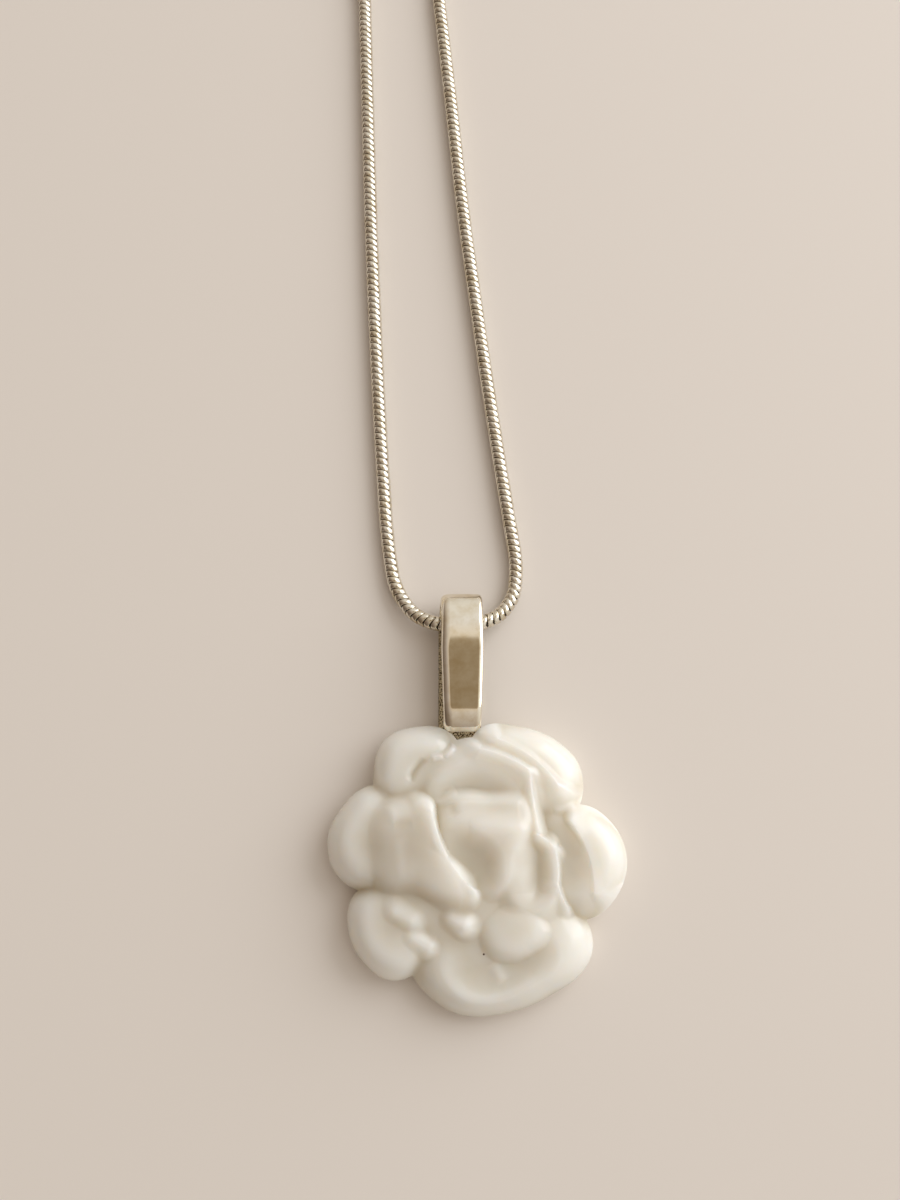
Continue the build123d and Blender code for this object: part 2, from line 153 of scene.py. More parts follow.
def makeOpalGlass(look):
    material, tree, shader, place = newMaterial("opalGlassFirePolished")
    cloud = addNode(tree, "ShaderNodeTexNoise", {"Scale": 1 / (look["cloudSize"] * mm), "Detail": 3.0},
                    {"Vector": place})
    body = setRamp(addNode(tree, "ShaderNodeValToRGB", links={"Fac": cloud.outputs["Fac"]}),
                   [(look["cloudEdges"][0], look["thin"]), (look["cloudEdges"][1], look["body"])])
    # Painted shade and light: the glass's depth below its surroundings darkens its hollows and whitens its
    # ridges
    below = addNode(tree, "ShaderNodeAttribute", {"attribute_name": "hollow"}).outputs["Fac"]
    paintedShadeShare = addNode(tree, "ShaderNodeMapRange", {"From Min": 0.0, "From Max": look["shadeFullDepth"]},
                       {"Value": below})
    paintedLightShare = addNode(tree, "ShaderNodeMapRange", {"From Min": 0.0, "From Max": look["ridgeLightFullHeight"]},
                      {"Value": below})
    shaded = addNode(tree, "ShaderNodeMix", {"data_type": "RGBA", 7: toLinear(look["hollow"])},
                     {0: paintedShadeShare.outputs["Result"], 6: body})
    paintedLightTone = addNode(tree, "ShaderNodeMix", {"data_type": "RGBA", 7: toLinear(look["paintedRidgeLight"])},
                       {0: paintedLightShare.outputs["Result"], 6: shaded.outputs[2]})
    # A dark spot painted as the shade inside the pinhole
    pinholeAt = [c * mm for c in look["pinholeAt"]]
    away = addNode(tree, "ShaderNodeVectorMath", {"operation": "DISTANCE", 1: pinholeAt}, {0: place})
    reach = look["pinholeSize"] * mm
    inPinholeShade = addNode(tree, "ShaderNodeMapRange",
                      {"From Min": reach / 2, "From Max": reach, "To Min": 1.0, "To Max": 0.0},
                      {"Value": away.outputs["Value"]})
    colour = addNode(tree, "ShaderNodeMix", {"data_type": "RGBA", 7: toLinear(look["pinholeShade"])},
                     {0: inPinholeShade.outputs["Result"], 6: paintedLightTone.outputs[2]})
    wave = addNode(tree, "ShaderNodeTexNoise", {"Scale": 1 / (look["waveSize"] * mm), "Detail": 1.5},
                   {"Vector": place})
    grain = addNode(tree, "ShaderNodeTexNoise", {"Scale": 1 / (look["grainSize"] * mm), "Detail": 2.0},
                    {"Vector": place})
    waves = addNode(tree, "ShaderNodeBump", {"Distance": look["waveHeight"] * mm, "Strength": 1.0},
                    {"Height": wave.outputs["Fac"]})
    grains = addNode(tree, "ShaderNodeBump", {"Distance": look["grainHeight"] * mm, "Strength": 1.0},
                     {"Height": grain.outputs["Fac"], "Normal": waves.outputs["Normal"]})
    sharp, dull = look["roughness"]
    gloss = addNode(tree, "ShaderNodeMapRange", {"To Min": sharp, "To Max": dull},
                    {"Value": wave.outputs["Fac"]})
    tree.links.new(colour.outputs[2], shader.inputs["Base Color"])
    tree.links.new(gloss.outputs["Result"], shader.inputs["Roughness"])
    tree.links.new(grains.outputs["Normal"], shader.inputs["Normal"])
    shader.inputs["IOR"].default_value = look["ior"]
    shader.inputs["Subsurface Weight"].default_value = look["scatter"]
    shader.inputs["Subsurface Radius"].default_value = look["scatterTint"]
    shader.inputs["Subsurface Scale"].default_value = look["scatterDepth"] * mm
    return material


# Silver plate on brass, mirror polished by tumbling: near-white metal with soft handling
# marks that only dull the gloss a little.
polishedPlateLook = {"silver": "#F1EBDD", "warm": "#E2D6BE", "toneEdges": (0.3, 0.6), "roughness": 0.07,
                     "glossSpread": (0.6, 1.7), "markSize": 1.3, "dentHeight": 0.003}
# The chain's plates are stamped and bright dipped, not polished, so they are greyer and duller.
brightChainLook = {**polishedPlateLook, "silver": "#E9E3D6", "warm": "#D2C6AE", "roughness": 0.16}
# The small fittings are barrel tumbled, between the two.
tumbledFittingLook = {**polishedPlateLook, "roughness": 0.12}


def makePlatedSilver(name, look):
    material, tree, shader, place = newMaterial(name)
    marks = addNode(tree, "ShaderNodeTexNoise", {"Scale": 1 / (look["markSize"] * mm), "Detail": 5.0},
                    {"Vector": place})
    tone = setRamp(addNode(tree, "ShaderNodeValToRGB", links={"Fac": marks.outputs["Fac"]}),
                   [(look["toneEdges"][0], look["warm"]), (look["toneEdges"][1], look["silver"])])
    sharp, dull = (look["roughness"] * share for share in look["glossSpread"])
    gloss = addNode(tree, "ShaderNodeMapRange", {"To Min": sharp, "To Max": dull},
                    {"Value": marks.outputs["Fac"]})
    dents = addNode(tree, "ShaderNodeBump", {"Distance": look["dentHeight"] * mm, "Strength": 1.0},
                    {"Height": marks.outputs["Fac"]})
    tree.links.new(tone, shader.inputs["Base Color"])
    tree.links.new(gloss.outputs["Result"], shader.inputs["Roughness"])
    tree.links.new(dents.outputs["Normal"], shader.inputs["Normal"])
    shader.inputs["Metallic"].default_value = 1.0
    return material


# The glue face of the bail's plate, stippled when it was cast and left unpolished: bright pips
# with dark tarnish between them.
stippledPlateLook = {"silver": "#CDC0A2", "tarnish": "#47392A", "pipSize": 0.12, "pipEdges": (0.46, 0.64),
                     "pipHeight": 0.03, "roughness": 0.4}


def makeStippledPlate(look):
    material, tree, shader, place = newMaterial("castSilverStippled")
    pips = addNode(tree, "ShaderNodeTexVoronoi", {"Scale": 1 / (look["pipSize"] * mm)}, {"Vector": place})
    tone = setRamp(addNode(tree, "ShaderNodeValToRGB", links={"Fac": pips.outputs["Distance"]}),
                   [(look["pipEdges"][0], look["silver"]), (look["pipEdges"][1], look["tarnish"])])
    low = addNode(tree, "ShaderNodeMath", {"operation": "SUBTRACT", 0: 1.0}, {1: pips.outputs["Distance"]})
    bumps = addNode(tree, "ShaderNodeBump", {"Distance": look["pipHeight"] * mm, "Strength": 1.0},
                    {"Height": low.outputs["Value"]})
    tree.links.new(tone, shader.inputs["Base Color"])
    tree.links.new(bumps.outputs["Normal"], shader.inputs["Normal"])
    shader.inputs["Metallic"].default_value = 1.0
    shader.inputs["Roughness"].default_value = look["roughness"]
    return material


# The chain's core, dark brown as painted shade between the plates, and dull.
chainCoreShadeLook = {"colour": "#3A3024", "metallic": 0.8, "roughness": (0.4, 0.5), "shadeSize": 0.9}


def makeChainCoreShade(look):
    material, tree, shader, place = newMaterial("chainCorePaintedShade")
    shade = addNode(tree, "ShaderNodeTexNoise", {"Scale": 1 / (look["shadeSize"] * mm), "Detail": 2.0},
                    {"Vector": place})
    sharp, dull = look["roughness"]
    gloss = addNode(tree, "ShaderNodeMapRange", {"To Min": sharp, "To Max": dull},
                    {"Value": shade.outputs["Fac"]})
    tree.links.new(gloss.outputs["Result"], shader.inputs["Roughness"])
    shader.inputs["Base Color"].default_value = toLinear(look["colour"])
    shader.inputs["Metallic"].default_value = look["metallic"]
    return material


opalGlass = makeOpalGlass(opalGlassLook)
mirrorPlate = makePlatedSilver("silverPlateMirrorPolished", polishedPlateLook)
chainPlate = makePlatedSilver("silverPlateBrightChain", brightChainLook)
fittingPlate = makePlatedSilver("silverPlateTumbled", tumbledFittingLook)
stippledPlate = makeStippledPlate(stippledPlateLook)
chainCoreShade = makeChainCoreShade(chainCoreShadeLook)
print("materials made:", len(bpy.data.materials))


# The flower, petals laid one over another from the rim inwards and melted together. Lengths are
# hundredths of half the flower's width, heights hundredths of its height. The eight reaches run
# anticlockwise from the right. The rim's rows are (share of the radius inwards, share of the height).
flowerShape = {"halfWidth": 15.0, "height": 8.0, "lowest": 12.0, "spreadLimit": 2.5, "foldFade": 0.8,
               "rings": 168, "ringSpread": 0.9, "rimReach": 118.0, "rimStep": 0.05, "rimAngles": 2160,
               "rim": ((0.0, 0.8), (0.004, 0.55), (0.013, 0.28), (0.026, 0.1), (0.045, 0.0)),
               "groundHalf": 18.0, "groundSpacing": 0.25, "groundBlur": 8, "sharpAngle": 50}
petals = [
    # kind, name, x, y, right, upper right, up, upper left, left, lower left, down, lower right,
    # level, tiltX, tiltY, crown, power, fuse
    ("petal", "outerBottom", 16, -50, 60, 51, 39, 46, 63, 54.5, 42.5, 44, 51, 0, 4, 28, 6, 8),
    ("petal", "outerRight", 69, 5, 31, 32.5, 37, 36, 30, 33, 38, 32, 54, -2, 0, 30, 4.5, 8),
    ("petal", "outerTopRight", 30, 62, 41.5, 33.7, 33, 41.7, 36, 28, 28, 42, 54, 2, 2, 30, 4.5, 8),
    ("petal", "outerTopLeft", -43, 65, 33, 35.5, 29.5, 29, 27, 32, 33, 33, 53, 2, 0, 26, 5, 8),
    ("petal", "outerLeft", -69, 19, 30, 33, 36.5, 31, 31.5, 34, 34, 30, 55, 6, 0, 28, 5, 9),
    ("petal", "outerBottomLeft", -56, -40, 26, 26, 30, 35, 29.5, 28, 31.5, 30, 52, 4, 4, 26, 5, 9),
    ("petal", "outerTop", 3, 51, 51, 37.5, 36, 40, 48, 39, 33, 40, 57, 0, 0, 28, 4, 9),
    ("petal", "notchFill", 50, 31, 14, 12, 12, 14, 14, 14, 16, 14, 50, 0, 0, 9, 2, 8),
    ("hollow", "rightHollow", 61, 3, 14.5, 17, 25, 18, 12, 18, 26, 21, 49, 22, -6, 7, 2.5, 6),
    ("hollow", "bottomHollow", 13, -54, 39, 39, 26, 33, 38, 34, 27, 26, 45, -2, 34, 8, 4, 5),
    ("petal", "collar", -10, 3, 49, 44, 48, 58, 60, 62, 54, 52, 59, 0, 0, 22, 4, 10),
    ("petal", "topOuterCup", 3, 51, 52, 38.5, 37, 41, 49, 40, 33, 40, 60, 2, 0, 24, 6, 4),
    ("petal", "topInnerCup", 0, 48.5, 35, 27, 28, 34, 43, 33, 26, 32, 63, 3, 0, 28, 6, 6),
    ("hollow", "topHollow", 5, 50, 30, 25, 25, 27, 30, 20, 14, 26, 54, 20, 30, 9, 2.5, 6),
    ("petal", "bud", 8, 16, 30, 43, 35, 43, 37, 27, 38, 32, 72, -8, 4, 22, 6, 8),
    ("hollow", "budHollow", 1, -1, 15, 17, 20, 26, 18.5, 14.5, 26, 20, 57, 26, 8, 12, 2, 8),
    ("petal", "leftWrap", -40, 12, 17, 18.5, 30, 36, 32, 33, 27, 46, 72, 33, 14, 13, 5, 8),
    ("petal", "rightWrap", 35, -4, 16, 14, 23, 26, 23, 26, 33, 30, 61, 0, 0, 20, 4, 9),
    ("hollow", "rightWrapHollow", 40, -4, 11, 16, 18, 14, 12, 19, 22, 18, 50, 36, 0, 10, 2.2, 7),
    ("petal", "bottomBulge", 22, -40, 24.5, 18, 17, 18.5, 21, 20, 18, 18.5, 58, 2, 2, 11, 5, 8),
]
rimPetals = ("outerBottom", "outerRight", "outerTopRight", "outerTopLeft", "outerLeft",
             "outerBottomLeft", "outerTop")
rolls = [
    # name, x1, y1, x2, y2, bow, left width, right width, level1, level2, crown, power, fuse
    ("leftWrapRim", -30, 37, -3, -13, 5, 1.2, 8, 82, 73, 6, 1.3, 3),
    ("middleRidge", 22, 12, 24, -16, 0, 11, 10, 70, 61, 8, 2, 9),
    ("rightWrapRimTop", 39, 22, 50, 14, -0.7, 1.5, 6, 66, 63, 5, 1.2, 3),
    ("rightWrapRimSide", 50.5, 13, 52, -10, -1, 1.3, 7, 63, 60, 5, 1.2, 3),
    ("rightWrapRimLow", 52, -10, 57.5, -23, 0.5, 1.3, 7, 60, 53, 5, 1.2, 3),
    ("innerCupRim", 2, 78, 33, 65, -2, 1.8, 9, 64, 66, 5, 1.2, 3),
    ("innerCupSide", 34.5, 62, 40, 24, 0.6, 2, 5, 65, 67, 5, 1.2, 3),
    ("outerCupRim", 14, 85, 53, 55, -4, 2.4, 9, 57, 60, 5, 1.2, 4),
    ("rightLobeRim", 61, 31, 75.5, -15, -4.5, 6, 2.2, 56, 55, 5, 1.2, 3),
    ("ruffleLeft", -54, -28, -44, -33, 0, 10, 6, 59, 60, 8, 1.7, 6),
    ("ruffleMiddle", -17, -32, -10, -36, 0, 9, 6, 63, 65, 8, 1.7, 6),
    ("ruffleLow", -43, -44, -33, -50, 0, 8, 6, 56, 55, 8, 1.7, 6),
]
folds = [
    # name, x1, y1, x2, y2, bow, left width, right width, lift: ridges above 0, creases below
    ("topLeftCrease", -45, 57, -35, 72, -1.5, 2.4, 2.4, -5),
    ("topCupPinch", -31, 72, -23, 74, 0, 2, 2, 5),
    ("topCupPinchUp", -23, 73, -16, 82, 1, 2, 2, 5),
    ("rightNotchRim", 50, 38, 66, 42, 1, 2.4, 2.4, 4),
    ("budValley", -14, 39, 26, 38, 0, 5, 5, -3),
    ("budBand", -6, 27, 34, 24, 0, 6, 8, 4),
    ("budDent", -18, 42, -15, 34, 0, 4, 4, -3),
    ("budShoulder", -28, 42, -14, 51, 0, 3, 3, 4),
    ("wrapUnderGroove", -54, -13, -12, -22, 1.5, 4, 4, -2),
    ("leftWrapCrease", -55, 29, -43, 30, 0, 3.5, 3.5, -1.2),
    ("leftWrapRidge", -59, 42, -54, 30, 0, 4, 4, 2),
    ("leftWrapFold", -53, 20, -51, -8, 0, 4, 4, 1),
    ("bottomRipple", 9, -60, 16, -72, 0, 4, 4, 2),
]


def reachAt(values, angle):
    # Closed smooth curve through eight reaches
    values = np.asarray(values, float)
    step = (angle / (pi / 4)) % 8
    index = np.floor(step).astype(int) % 8
    share = step - np.floor(step)
    before, start, end, after = (values[(index + k) % 8] for k in (-1, 0, 1, 2))
    bend = 2 * before - 5 * start + 4 * end - after + share * (3 * (start - end) + after - before)
    return start + 0.5 * share * (end - before + share * bend)


def melt(a, b, fuse):
    # The higher of two surfaces, with the crease between them filled
    near = np.maximum(fuse - np.abs(a - b), 0) / fuse
    return np.maximum(a, b) + near * near * fuse / 4


def along(x, y, x1, y1, x2, y2, bow, leftWidth, rightWidth):
    # Share of the way along a bowed line, and the distance from it as a share of that side's width
    runX, runY = x2 - x1, y2 - y1
    length = np.hypot(runX, runY)
    share = np.clip(((x - x1) * runX + (y - y1) * runY) / length ** 2, 0, 1)
    side = 4 * bow * share * (1 - share) / length
    awayX = x - x1 - share * runX - side * runY
    awayY = y - y1 - share * runY + side * runX
    distance = np.hypot(awayX, awayY)
    lean = (runX * awayY - runY * awayX) / length / np.maximum(distance, 1e-6)
    return share, distance / ((leftWidth + rightWidth + (leftWidth - rightWidth) * lean) / 2)


def glassHeight(x, y):
    # Height of the glass above its back, for arrays of x and y in millimetres
    unit = flowerShape["halfWidth"] / 100
    x, y = np.asarray(x, float) / unit, np.asarray(y, float) / unit
    level = np.full(x.shape, flowerShape["lowest"])
    for kind, name, middleX, middleY, *rest in petals:
        reaches, (top, tiltX, tiltY, crown, power, fuse) = rest[:8], rest[8:]
        dx, dy = x - middleX, y - middleY
        spread = np.hypot(dx, dy) / reachAt(reaches, np.arctan2(dy, dx))
        drop = crown * np.minimum(spread, flowerShape["spreadLimit"]) ** power
        face = top + (tiltX * dx + tiltY * dy) / 100
        if kind == "petal":
            level = melt(level, face - drop, fuse)
        else:
            level = -melt(-level, -face - drop, fuse)
    for name, x1, y1, x2, y2, bow, leftWidth, rightWidth, level1, level2, crown, power, fuse in rolls:
        share, distance = along(x, y, x1, y1, x2, y2, bow, leftWidth, rightWidth)
        level = melt(level, level1 + share * (level2 - level1) - crown * distance ** power, fuse)
    for name, x1, y1, x2, y2, bow, leftWidth, rightWidth, lift in folds:
        share, distance = along(x, y, x1, y1, x2, y2, bow, leftWidth, rightWidth)
        fade = 1 - flowerShape["foldFade"] * (2 * share - 1) ** 4
        level = level + lift * fade * np.exp(-distance ** 2)
    return level * flowerShape["height"] / 100


def hollowness(shape, x, y):
    # How far the glass lies below its blurred surroundings, in millimetres, less than 0 on a ridge
    # It sets where shade is painted into the glass's hollows and light onto its ridges
    half, spacing, spread = shape["groundHalf"], shape["groundSpacing"], shape["groundBlur"]
    line = np.arange(-half, half + spacing, spacing)
    ground = glassHeight(*np.meshgrid(line, line))
    weights = np.exp(-(np.arange(-2 * spread, 2 * spread + 1) / spread) ** 2)
    weights /= weights.sum()
    blurred = ground
    for axis in (0, 1):
        blurred = np.apply_along_axis(lambda strip: np.convolve(strip, weights, "same"), axis, blurred)
    below = blurred - ground
    column = (np.asarray(x) + half) / spacing
    row = (np.asarray(y) + half) / spacing
    i, j = np.floor(row).astype(int), np.floor(column).astype(int)
    v, u = row - i, column - j
    return ((below[i, j] * (1 - u) + below[i, j + 1] * u) * (1 - v)
            + (below[i + 1, j] * (1 - u) + below[i + 1, j + 1] * u) * v)


def rimRadius(angles):
    # Outermost reach of the rim petals along each ray from the flower's centre
    steps = np.arange(1.0, flowerShape["rimReach"], flowerShape["rimStep"])[:, None]
    x, y = steps * np.cos(angles), steps * np.sin(angles)
    furthest = np.zeros(len(angles))
    for kind, name, middleX, middleY, *rest in petals:
        if name in rimPetals:
            dx, dy = x - middleX, y - middleY
            inside = np.hypot(dx, dy) <= reachAt(rest[:8], np.arctan2(dy, dx))
            furthest = np.maximum(furthest, np.where(inside, steps, 0).max(axis=0))
    return furthest * flowerShape["halfWidth"] / 100


def makeFlower(shape):
    # Relief on rings of points, closed by a rounded rim and a flat back
    rings = shape["rings"]
    fineAngles = np.linspace(0, 2 * pi, shape["rimAngles"], endpoint=False)
    rim = rimRadius(fineAngles)
    roundAngles, roundRim = np.append(fineAngles, 2 * pi), np.append(rim, rim[0])
    starts, points = [0], [(0.0, 0.0, float(glassHeight(0.0, 0.0)))]
    for k in range(1, rings + 1):
        angles = np.arange(6 * k) * 2 * pi / (6 * k)
        radii = np.interp(angles, roundAngles, roundRim) * (k / rings) ** shape["ringSpread"]
        x, y = radii * np.cos(angles), radii * np.sin(angles)
        starts.append(len(points))
        points += list(zip(x, y, glassHeight(x, y)))
    faces = [(0, 1 + i, 1 + (i + 1) % 6) for i in range(6)]
    for k in range(1, rings):
        n, m, a, b = 6 * k, 6 * (k + 1), starts[k], starts[k + 1]
        i = j = 0
        while i < n or j < m:
            if j * n <= i * m and j < m:
                faces.append((a + i % n, b + j % m, b + (j + 1) % m))
                j += 1
            else:
                faces.append((a + i % n, b + j % m, a + (i + 1) % n))
                i += 1
    n, upper, outer = 6 * rings, starts[rings], points[starts[rings]:]
    for inset, height in shape["rim"]:
        lower = len(points)
        points += [(x * (1 - inset), y * (1 - inset), z * height) for x, y, z in outer]
        faces += [(upper + i, lower + i, lower + (i + 1) % n, upper + (i + 1) % n) for i in range(n)]
        upper = lower
    faces.append(tuple(reversed(range(upper, upper + n))))
    return points, faces


# The bail: one strip bent over the chain and down behind the glass. Its front leg is flat in the
# middle, curls back at the lower end, and rolls over in a long shoulder at the top.
bailShape = {"plateThickness": 1.0, "plateWidth": 4.4, "plateReach": 11.0, "frontThickness": 1.1,
             "depth": 5.2, "length": 13.5, "topWidth": 4.3, "endWidth": 3.75, "x": -1.75,
             "frontShift": 0.30, "leftBevel": 0.88, "rightBevel": 0.46, "overlap": 0.75, "endDrop": 1.15,
             "flatFrom": 0.2, "flatTo": 0.7, "tipRun": 0.07, "tipThickness": 0.6, "tipWidth": 0.84,
             "backShare": 0.9, "bevelDrop": 0.6, "crownDrop": 1.0, "innerEdge": 0.16, "innerEase": 0.3,
             "tipSteps": 7, "legFrom": 0.1, "legSteps": 24, "bendFrom": 87, "bendSteps": 60,
             "plateSteps": 24, "plateEdge": 0.12, "glueGap": 0.10, "channelFrom": -0.5, "channelTo": 30.0,
             "loopSharpAngle": 24, "plateSharpAngle": 30}


def glassTopY():
    # Highest point of the rim, looked for within 30 degrees of straight up
    angles = np.radians(np.arange(60, 121))
    return float(np.max(rimRadius(angles) * np.sin(angles)))


def plateOutline(shape, gap, upperY):
    # Round lower end and straight sides, anticlockwise
    radius = shape["plateWidth"] / 2 + gap
    middleY = glassTopY() - shape["plateReach"] + shape["plateWidth"] / 2
    turns = [pi + pi * i / shape["plateSteps"] for i in range(shape["plateSteps"] + 1)]
    arc = [(shape["x"] + radius * cos(t), middleY + radius * sin(t)) for t in turns]
    return arc + [(shape["x"] + radius, upperY), (shape["x"] - radius, upperY)]


def slab(outline, low, high, edge=0.0):
    # Upright slab over an outline, with its upper rim eased by edge
    middleX, middleY = (sum(p[k] for p in outline) / len(outline) for k in (0, 1))
    rows = [[(x, y, low) for x, y in outline]]
    if edge:
        rows.append([(x, y, high - edge) for x, y in outline])
    rows.append([(x + edge * np.sign(middleX - x), y + edge * np.sign(middleY - y), high)
                 for x, y in outline])
    return ringFaces(rows)


def bailPath(shape):
    # Middle line of the strip as (y, z, width, thickness, bevel drop), lower end first
    top, end = glassTopY() + shape["length"], glassTopY() - shape["overlap"]
    high, low = shape["depth"] - shape["frontThickness"] / 2, shape["plateThickness"] / 2
    back = shape["backShare"] * shape["plateThickness"]
    tipY = top - (shape["frontThickness"] + back) / 4
    bendY = top - shape["depth"] / 2
    flatEnd = end + shape["flatTo"] * (bendY - end)
    tip = np.linspace(0, shape["tipRun"], shape["tipSteps"])
    leg = np.linspace(shape["legFrom"], 1, shape["legSteps"])
    path = []
    for share in np.concatenate([tip, leg]):
        y = end + share * (flatEnd - end)
        curl = max(0.0, 1 - (y - end) / (shape["flatFrom"] * (bendY - end)))
        full = (min(share, shape["tipRun"]) / shape["tipRun"]) ** 0.5
        width = shape["endWidth"] + (shape["topWidth"] - shape["endWidth"]) * share
        path.append((y, high - shape["endDrop"] * curl ** 2,
                     width * (shape["tipWidth"] + (1 - shape["tipWidth"]) * full),
                     shape["frontThickness"] * (shape["tipThickness"] + (1 - shape["tipThickness"]) * full),
                     shape["bevelDrop"]))
    for angle in np.linspace(shape["bendFrom"], -90, shape["bendSteps"]):
        over = (90 - angle) / 180
        reach, start = (tipY - flatEnd, flatEnd) if angle > 0 else (tipY - bendY, bendY)
        path.append((start + reach * cos(radians(angle)),
                     (high + low) / 2 + (high - low) / 2 * sin(radians(angle)), shape["topWidth"],
                     shape["frontThickness"] + (back - shape["frontThickness"]) * over,
                     shape["bevelDrop"] + (shape["crownDrop"] - shape["bevelDrop"]) * sin(pi * over)))
    path.append((bendY - shape["depth"] / 2, low, shape["topWidth"], back, shape["bevelDrop"] / 2))
    return path


def bailRows(shape):
    # Rounded sections across the strip: a broad bevel on the left, a narrow one on the right
    path, rows, edge = bailPath(shape), [], shape["innerEdge"]
    ease = shape["innerEase"] * edge
    turns = [radians(angle) for angle in range(0, 91, 15)]
    for i, (y, z, width, thickness, drop) in enumerate(path):
        before, after = path[max(i - 1, 0)], path[min(i + 1, len(path) - 1)]
        run = Vector((0, after[0] - before[0], after[1] - before[1])).normalized()
        middleX = shape["x"] + shape["frontShift"] * z / shape["depth"]
        half, outer = width / 2, thickness / 2
        section = []
        for side, bevel in ((1, shape["rightBevel"]), (-1, shape["leftBevel"])):
            fall = min(drop * bevel, thickness - 2 * edge)
            flank = [(side * (half - bevel - edge / 2), outer)]
            flank += [(side * (half - bevel + bevel * sin(t)), outer - fall * (1 - cos(t))) for t in turns]
            flank += [(side * half, -outer + edge), (side * (half - ease), -outer + ease),
                      (side * (half - edge), -outer)]
            section += flank if side > 0 else flank[::-1]
        rows.append([(middleX + x, y - run.z * n, z + run.y * n) for x, n in section])
    return rows


# The snake chain: bent plates pushed one into the next. Each link is a slanted band whose slope
# turns back twice on the way round, so the bands meet in pointed seams. Turns are in radians. A
# core painted dark as shade closes the view between the links.
chainShape = {"diameter": 1.5, "pitch": 0.7, "bandWidth": 0.64, "bandDepth": 0.2, "slope": -0.2,
              "seamPinch": 0.12, "lipEase": 0.05, "lowerLip": 0.8, "upperLip": 0.7, "around": 32,
              "turnPerLink": 0.0002, "firstTurn": 0.7, "looseness": 0.02, "seed": 7, "coreRadius": 0.6,
              "coreAround": 8, "coreEvery": 2, "cornerShare": 0.45, "routeSpacing": 0.3, "routeTrim": 2,
              "seatGap": 0.10, "endGap": 0.10}
# The closure, with each end cap's sides as (along, inwards) pairs from its mouth and from its end, and
# the clasp's lever as rows of (along, sideways, radius) from the hook's start.
closureShape = {"x": -8.6, "y": 200.0, "capDiameter": 2.2, "capLength": 4.0, "boreDepth": 3.0,
                "boreGap": 0.05, "eyeRadius": 1.0, "eyeWire": 0.6, "eyeBite": 0.15, "ringRadius": 1.9,
                "ringWire": 0.6, "linkGap": 0.06, "claspWire": 0.7, "hookLength": 6.4, "hookWidth": 3.2,
                "bodyLength": 4.6, "bodyOverEye": 0.2, "bodyOverHook": 1.2, "boreEase": 0.05,
                "mouthEase": 0.06, "axisGap": 0.02, "mouthSide": ((0.0, 0.16), (0.05, 0.05), (0.16, 0.0)),
                "grooves": (0.62, 1.05),
                "grooveSide": ((0.0, 0.0), (0.05, 0.07), (0.13, 0.07), (0.18, 0.0)),
                "endSide": ((0.5, 0.0), (0.3, 0.04), (0.12, 0.16), (0.02, 0.36), (0.0, 0.6)),
                "bodyStep": 6, "hookSteps": 72, "hookSquareness": 2.2, "hookAround": 18,
                "lever": ((0.2, 1.1, 0.28), (-0.4, 1.45, 0.3), (-0.9, 1.72, 0.2)), "leverAround": 14,
                "sharpAngle": 35}
onFloor = chainShape["diameter"] / 2
onPlate = bailShape["plateThickness"] + chainShape["seatGap"] + onFloor
halfway = (onFloor + onPlate) / 2
inCap = closureShape["capDiameter"] / 2
# The chain's corners, from the left end cap round the neck, down through the bail and back up
chainRoute = [
    (-29.5, 200.0, inCap), (-41.0, 195.0, onFloor), (-50.2, 185.0, onFloor), (-53.8, 172.0, onFloor),
    (-52.2, 158.5, onFloor), (-45.0, 146.5, onFloor), (-36.0, 136.0, onFloor), (-26.5, 126.0, onFloor),
    (-18.0, 116.0, onFloor), (-13.0, 104.8, onFloor), (-12.3, 86.5, onFloor), (-11.7, 71.0, onFloor),
    (-11.0, 57.5, onFloor), (-10.25, 45.0, onFloor), (-9.5, 34.8, onFloor), (-8.7, 29.3, onFloor),
    (-6.8, 26.2, halfway), (-4.3, 24.9, onPlate), (0.6, 25.0, onPlate), (2.7, 26.1, halfway),
    (4.1, 28.3, onFloor), (4.35, 31.8, onFloor), (3.3, 38.5, onFloor), (1.6, 50.2, onFloor),
    (0.15, 61.5, onFloor), (-1.3, 73.0, onFloor), (-2.6, 86.5, onFloor), (-4.5, 104.5, onFloor),
    (-0.8, 116.0, onFloor), (8.0, 126.0, onFloor), (18.0, 136.0, onFloor), (27.5, 146.5, onFloor),
    (34.7, 158.5, onFloor), (36.6, 172.0, onFloor), (33.0, 185.0, onFloor), (23.8, 195.0, onFloor),
    (12.3, 200.0, inCap),
]


def closurePlaces(shape):
    # X of each piece of the closure, from the left cap's mouth to the right one's
    step = shape["linkGap"] + shape["eyeWire"] / 2
    eyeLeft = shape["capLength"] + shape["eyeRadius"] - shape["eyeBite"]
    ringLeft = eyeLeft + shape["eyeRadius"] + step
    claspEye = ringLeft + step + shape["eyeRadius"]
    bodyEnd = claspEye + shape["eyeRadius"] - shape["bodyOverEye"] + shape["bodyLength"]
    hookStart = bodyEnd - shape["bodyOverHook"]
    ringRight = hookStart + shape["hookLength"] + shape["linkGap"] + shape["claspWire"] / 2
    eyeRight = ringRight + step + shape["eyeRadius"]
    mouthRight = eyeRight + shape["eyeRadius"] - shape["eyeBite"] + shape["capLength"]
    starts = {"mouthLeft": 0.0, "eyeLeft": eyeLeft, "ringLeft": ringLeft, "claspEye": claspEye,
              "bodyEnd": bodyEnd, "hookStart": hookStart, "ringRight": ringRight, "eyeRight": eyeRight,
              "mouthRight": mouthRight}
    return {name: start + shape["x"] - mouthRight / 2 for name, start in starts.items()}


